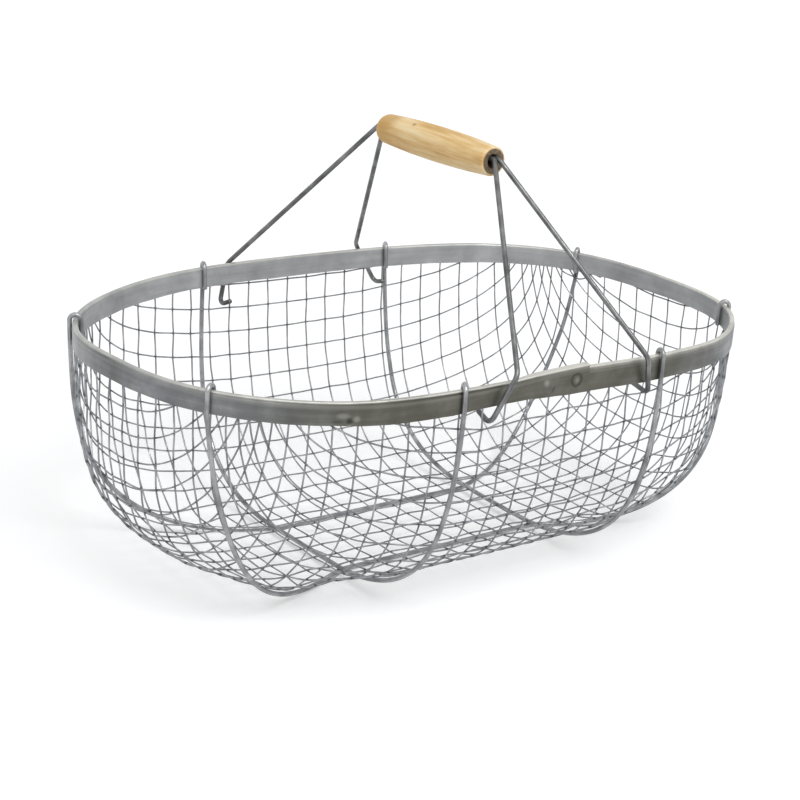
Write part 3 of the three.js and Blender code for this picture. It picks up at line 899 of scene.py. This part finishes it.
def bail_half(side, hook_drop, shoulder_drop, sideways, hook_tail=HOOK_TAIL):
    """Half a bail, from inside the grip out and down to its hook under the band."""
    lean = (HOOK_SPACING - BAIL_CENTRE) / (BAIL_TOP - HOOK_BOTTOM)
    slant = math.hypot(1, lean)
    rim_y = wall_at_x(BAIL_CENTRE + lean * (BAIL_TOP - TOP) - HANDLE_X, TOP)
    bend_start = GRIP_HALF + CLEARANCE
    shoulder_z = SHOULDER_Z - shoulder_drop
    shoulder = np.array([rim_y + SHOULDER_OUT, (BAIL_TOP - shoulder_z) * slant])
    corner = np.array([rim_y + HOOK_OUT, (BAIL_TOP - HOOK_BOTTOM + hook_drop) * slant])
    tail = corner - hook_tail
    steep = math.atan2(shoulder[1], shoulder[0] - bend_start)
    neck = np.array([bend_start + GRIP_BEND * math.tan(steep / 2), 0])
    flat = np.vstack([
        rounded(np.zeros(2), neck, shoulder, GRIP_BEND), rounded(neck, shoulder, corner, SHOULDER_BEND),
        rounded(shoulder, corner, tail, HOOK_BEND), tail])
    z = BAIL_TOP - flat[:, 1] / slant
    below = np.clip((shoulder_z - z) / (shoulder_z - HOOK_BOTTOM + hook_drop), 0, 1)
    x = HANDLE_X + side * (BAIL_CENTRE + lean * (BAIL_TOP - z)) + sideways * below
    return np.stack([x, flat[:, 0], z], 1)


def bail_path(side):
    """Middle line of a bail and the axis across it."""
    lean = (HOOK_SPACING - BAIL_CENTRE) / (BAIL_TOP - HOOK_BOTTOM)
    front = bail_half(side, **BAIL_FRONT[side]) * (1, -1, 1)
    rear = bail_half(side, **BAIL_REAR[side])
    return joined(front, rear), unit(np.array([1, 0, side * lean]))


def make_bails(material):
    for node, side in (("left_bail", -1), ("right_bail", 1)):
        path, side_axis = bail_path(side)
        points, faces, uv = round_wire(path, BAIL_RADIUS, side_axis)
        add_piece(node + "_wire", points, faces, material, "handle", [node], uv)


# Rim strip

def rim_line():
    """Places and distances along the strip, from its inner end once round to its lapped end."""
    def front_angle(x):
        return -math.acos(math.copysign(abs(x / RIM[0]) ** (OVAL / 2), x))

    angle = np.linspace(front_angle(LAP_INNER_X), front_angle(LAP_OUTER_X) + 2 * np.pi, 20001)
    cosine, sine = np.cos(angle), np.sin(angle)
    places = np.stack([np.sign(cosine) * np.abs(cosine) ** (2 / OVAL) * RIM[0],
                       np.sign(sine) * np.abs(sine) ** (2 / OVAL) * RIM[1]], 1)
    return places, distances(places)


def hump(x, z, middle, radius, steepness=2, stretch=1):
    """1 at a middle on the strip's face, falling to 0 at a radius that is stretched along X."""
    far = np.hypot((x - middle[0]) / stretch, z - middle[1]) / radius
    return np.clip(1 - far ** steepness, 0, None)


def patches(x, z, rows):
    """The sum of humps beside the marks."""
    return sum(
        size * hump(x, z, np.add(mark, shift), radius, stretch=stretch)
        for size, mark, shift, radius, stretch in rows)


def ring_groove(x, z):
    """1 along the round groove of the second press mark."""
    far = np.hypot(x - RING[0], z - RING[1])
    return np.clip(1 - ((far - RING_RADIUS) / RING_HALF_WIDTH) ** 2, 0, None)


def pressed(x, z):
    """How far the front of the strip is pushed out: a boss and a ring on the lap, and a dent."""
    boss = BOSS_HEIGHT * hump(x, z, BOSS, BOSS_RADIUS, BOSS_STEEPNESS)
    return boss - RING_DEPTH * ring_groove(x, z) + patches(x, z, PUSHED)


def strip_marks(x, z):
    """Painted shade in and beside the press marks, and painted highlights on them."""
    return RING_SHADE * ring_groove(x, z) + patches(x, z, PAINTED_SHADE), patches(x, z, PAINTED_HIGHLIGHT)


def strip_wave(stops, waves):
    """A slow unevenness along the strip, as a sum of (length, turn, size) waves."""
    return sum(np.sin(stops / length * 2 * np.pi + turn) * size for length, turn, size in waves)


def by_x(table, x):
    """A value along the strip, between the values that a table gives by X."""
    return np.interp(x, list(table), list(table.values()))


def strip_stops(whole):
    """Distances of the cross sections, close together at the lap and at the marks on the front."""
    stops = [0.0]
    while stops[-1] < whole - 0.5:
        left = whole - stops[-1]
        fine = stops[-1] < FINE_START or left < FINE_END or FINE_DENT[0] < left < FINE_DENT[1]
        stops.append(stops[-1] + (FINE_STEP if fine else COARSE_STEP))
    return np.array(stops) * whole / stops[-1]


def strip_section(stops, x, front):
    """Offset, height and shares of outside, fold, crease and bead: along the strip and once round it."""
    lapping = front & (stops > stops[-1] / 2)
    lap = np.clip((x - (LAP_INNER_X - LAP_WIDENING)) / LAP_WIDENING, 0, 1) * lapping
    along_lap = np.clip((x - LAP_INNER_X) / (LAP_OUTER_X - LAP_INNER_X), 0, 1)
    wave = strip_wave(stops, FACE_WAVES)
    outer = BAND_HALF + lap * LAP_STEP
    inner = outer - BAND_SHEET
    top = TOP + lap * LAP_STEP + LAP_RAISE * along_lap ** LAP_RAISE_POWER * lapping
    bottom = BAND_BOTTOM + strip_wave(stops, EDGE_WAVES) - by_x(FRONT_DEPTH, x) * front
    creased = CREASE_LEAST + (1 - CREASE_LEAST) * bell(x, CREASE_X, CREASE_WIDTH) * front
    spread = FOLD_HIGHLIGHT_SPREAD * (1 - creased) * front
    rows = []

    def row(offset, z, is_outer=0.0, is_fold=0.0, crease=0.0, bead=0.0):
        values = (offset + wave, z, is_outer, is_fold, crease, bead)
        rows.append([np.broadcast_to(value, stops.shape) for value in values])

    for share in np.linspace(0, 1, 19):
        z = bottom + (top - FACE_TOP - bottom) * share
        row(outer + pressed(x, z) * front, z, 1, bead=0.5 * (share == 1))
    # The crease rows carry painted shade, and where it is weak the fold's painted highlight spreads onto
    # them.
    for offset, depth, fold, crease, bead in ROLLED_EDGE:
        row(outer + offset, top - depth, 1, fold + spread * (crease > 0), crease * creased, bead)
    quarter = np.linspace(0.2, 1, 5) * np.pi / 2
    half_width, height = FOLD_OUTER
    for turn in quarter:
        row(outer - FOLD_INSET + half_width * np.cos(turn), top - height * (1 - np.sin(turn)), 0.5, 1)
    for turn in quarter[::-1]:
        row(FOLD_INSET * (1 - np.cos(turn)) - outer, top - FOLD_INSET * (1 - np.sin(turn)), 0.5, 1)
    for share in np.linspace(0, 1, 9):
        row(-outer, top - INSIDE_TOP + (bottom - top + INSIDE_TOP) * share)
    row(-inner, bottom)
    for side, offset, depth in SLOT:
        row(side * inner + offset, top - depth)
    for share in np.linspace(0, 1, 9):
        z = top - SLOT_TOP + (bottom - top + SLOT_TOP) * share
        row(inner + pressed(x, z) * front, z)
    return np.array(rows).transpose(1, 2, 0)


def strip_tones(x, y, front, section):
    """What the strip's material reads: outside, the painted highlight on the fold, weathering with painted
    shade, other painted shade, and painted highlights.
    """
    _, heights, is_outer, is_fold, crease, bead = section
    # Weathering and painted shade, strongest at the middle of the front and weaker at the rear.
    weather_and_shade = np.clip(WEATHER_AND_SHADE_MOST - np.abs(x - WEATHER_AND_SHADE_X) / WEATHER_AND_SHADE_REACH, 0, 1)
    weather_and_shade = weather_and_shade * np.where(front, 1, WEATHER_AND_SHADE_REAR)
    # Painted highlight on the fold, set by X at the front.
    bright = np.where(front, by_x(FOLD_HIGHLIGHT, x), FOLD_HIGHLIGHT_REAR)
    # Painted reflections on the outside of the left end: a dark one and a light one, by Y.
    dark_patch, pale_reflection = [size * bell(y, place, width) * (x < LEFT_END_X) for size, place, width in (DARK_REFLECTION, PALE_REFLECTION)]
    painted_shade, painted_highlight = strip_marks(np.broadcast_to(x[:, None], heights.shape), heights)
    face = is_outer * front[:, None]
    return {
        "outer": is_outer,
        "fold": is_fold * bright[:, None],
        "weather_and_shade": np.broadcast_to(weather_and_shade[:, None], heights.shape),
        # Painted shade: the marks, the crease under the fold and the left end's dark reflection.
        "painted_shade": (painted_shade * face + CREASE_SHADE * crease + dark_patch[:, None] * is_outer).clip(0, 1),
        # Painted highlights: the marks, the bead under the fold and the left end's light reflection.
        "painted_highlight": (painted_highlight * face + BEAD_HIGHLIGHT * bead + pale_reflection[:, None] * is_outer).clip(0, 1),
    }


def make_band(material):
    """The strip: an upside-down U with a rolled bead under its fold, swept once round the rim."""
    places, distance = rim_line()
    stops = strip_stops(distance[-1])
    line = np.stack([np.interp(stops, distance, places[:, k]) for k in range(2)], 1)
    x, y = line.T
    front = y < 0
    section = strip_section(stops, x, front)
    offsets, heights = section[:2]
    flat = line[:, None, :] + rim_normal(line)[:, None, :] * offsets[..., None]
    points = np.concatenate([flat, heights[..., None]], -1)
    _, faces, _ = tube_mesh(points, line)
    girth = distances(np.column_stack([offsets[0], heights[0]])) * MM
    uv = np.stack(np.broadcast_arrays((stops * MM)[:, None], girth[None]), -1).reshape(-1, 2)
    add_piece("rim_strip", points.reshape(-1, 3), faces, material, "basket", ["rim_band"],
              uv, strip_tones(x, y, front, section))


# Turned grip

def make_grip(material, sides=64):
    """Turned barrel: a crisp front end, a worn round back end and a bore for both bails."""
    front_y, back_y = GRIP_FRONT_ROUND - GRIP_HALF, GRIP_HALF - GRIP_BACK_ROUND
    taper = GRIP_MIDDLE_RADIUS - GRIP_END_RADIUS
    barrel = []
    for place in np.linspace(front_y, back_y, 45):
        barrel.append((GRIP_MIDDLE_RADIUS - taper * (place / GRIP_TAPER_HALF) ** 2, place, 0))
    front_radius, back_radius = barrel[0][0], barrel[-1][0]
    front = []
    for angle in np.linspace(np.pi / 2, 0.2, 6):
        out, ahead = GRIP_FRONT_ROUND * (1 - math.cos(angle)), GRIP_FRONT_ROUND * math.sin(angle)
        front.append((front_radius - out, front_y - ahead, 0.3 * (angle > 1.2)))
    face = []
    for ring in np.linspace(GRIP_BORE + 0.5, front_radius - GRIP_FRONT_ROUND - 0.2, 5):
        face.append((ring, 0.15 * math.sin(2.4 * ring) - GRIP_HALF, 1))
    back = []
    back_depth = back_radius - GRIP_BORE - 0.8
    for angle in np.linspace(0.12, np.pi / 2, 12):
        out, ahead = back_depth * (1 - math.cos(angle)), GRIP_BACK_ROUND * math.sin(angle)
        back.append((back_radius - out, back_y + ahead, 0.5 * (angle > 1.25)))
    bore_half = GRIP_HALF - CLEARANCE
    bore = [(GRIP_BORE, place, 1) for place in np.linspace(bore_half, -bore_half, 13)]
    outline = face + front + barrel + back + bore
    radius, along, dark = np.array(outline).T
    turn = np.arange(sides) * 2 * np.pi / sides
    worn = 1 + 0.006 * np.sin(2 * turn + 0.6) + 0.004 * np.sin(3 * turn + 1.9)
    points = np.stack([
        HANDLE_X + radius[:, None] * worn * np.cos(turn), np.repeat(along[:, None], sides, 1),
        GRIP_Z + radius[:, None] * worn * np.sin(turn)], -1)
    rings = len(outline)
    faces = []
    for i in range(rings):
        n = (i + 1) % rings
        for j in range(sides):
            k = (j + 1) % sides
            faces.append((i * sides + j, n * sides + j, n * sides + k, i * sides + k))
    add_piece("turned_grip", points.reshape(-1, 3), faces, material, "grip", ["grip"],
              values={"end_grain": np.repeat(dark, sides)})


# Camera, floor and light

def make_camera():
    data = bpy.data.cameras.new("camera")
    data.lens = CAMERA_LENS
    data.sensor_width = CAMERA_SENSOR
    camera = bpy.data.objects.new("camera", data)
    bpy.context.scene.collection.objects.link(camera)
    turn = Matrix((CAMERA_RIGHT, CAMERA_UP, CAMERA_BACK)).transposed().to_4x4()
    turn.translation = [place * MM for place in CAMERA_PLACE]
    camera.matrix_world = turn
    bpy.context.scene.camera = camera


def make_floor():
    """A wide white floor that keeps a soft shadow."""
    mesh = bpy.data.meshes.new("floor")
    far, low = STAGE_HALF * MM, STAGE_Z * MM
    corners = [(-far, -far, low), (far, -far, low), (far, far, low), (-far, far, low)]
    mesh.from_pydata(corners, [], [(0, 1, 2, 3)])
    floor = bpy.data.objects.new("floor", mesh)
    bpy.context.scene.collection.objects.link(floor)
    shader = Shader("floor", 0.0, 0.9)
    shader.surface.inputs["Base Color"].default_value = STAGE_COLOUR
    shader.surface.inputs["Specular IOR Level"].default_value = 0.0
    shader.surface.inputs["Emission Color"].default_value = (1, 1, 1, 1)
    light_path = shader.node("LightPath")
    seen = shader.math("MAXIMUM", light_path.outputs["Is Camera Ray"], light_path.outputs["Is Glossy Ray"])
    seen = shader.math("MAXIMUM", seen, light_path.outputs["Is Transmission Ray"])
    shader.links.new(shader.math("MULTIPLY", seen, STAGE_GLOW), shader.surface.inputs["Emission Strength"])
    mesh.materials.append(shader.material)


def make_lights():
    """White surroundings, seen and mirrored at full white, and two soft lamps."""
    world = bpy.data.worlds.new("studio")
    bpy.context.scene.world = world
    world.use_nodes = True
    tree = world.node_tree
    back = tree.nodes["Background"]
    back.inputs["Color"].default_value = (1, 1, 1, 1)
    light_path = tree.nodes.new("ShaderNodeLightPath")
    seen = light_path.outputs["Is Camera Ray"]
    for name in ("Is Glossy Ray", "Is Transmission Ray"):
        either = tree.nodes.new("ShaderNodeMath")
        either.operation = "MAXIMUM"
        tree.links.new(seen, either.inputs[0])
        tree.links.new(light_path.outputs[name], either.inputs[1])
        seen = either.outputs[0]
    level = tree.nodes.new("ShaderNodeMapRange")
    level.inputs["To Min"].default_value = WORLD_LIGHT
    level.inputs["To Max"].default_value = 1.0
    tree.links.new(seen, level.inputs["Value"])
    tree.links.new(level.outputs["Result"], back.inputs["Strength"])
    for name, (strength, spread, tilt) in LAMPS.items():
        lamp = bpy.data.lights.new(name, "SUN")
        lamp.energy = strength
        lamp.angle = math.radians(spread)
        lamp_object = bpy.data.objects.new(name, lamp)
        lamp_object.rotation_euler = tilt
        bpy.context.scene.collection.objects.link(lamp_object)


# The whole scene

make_camera()
make_cloth(wire_material("wire_cloth", CLOTH_TONES, 0.6))
make_ribs(wire_material("rib_wire", RIB_TONES, 0.7))
make_bails(wire_material("bail_wire", BAIL_TONES, 0.7))
make_band(band_material())
make_grip(wood_material())
make_floor()
make_lights()
bpy.context.scene.view_settings.view_transform = "Standard"
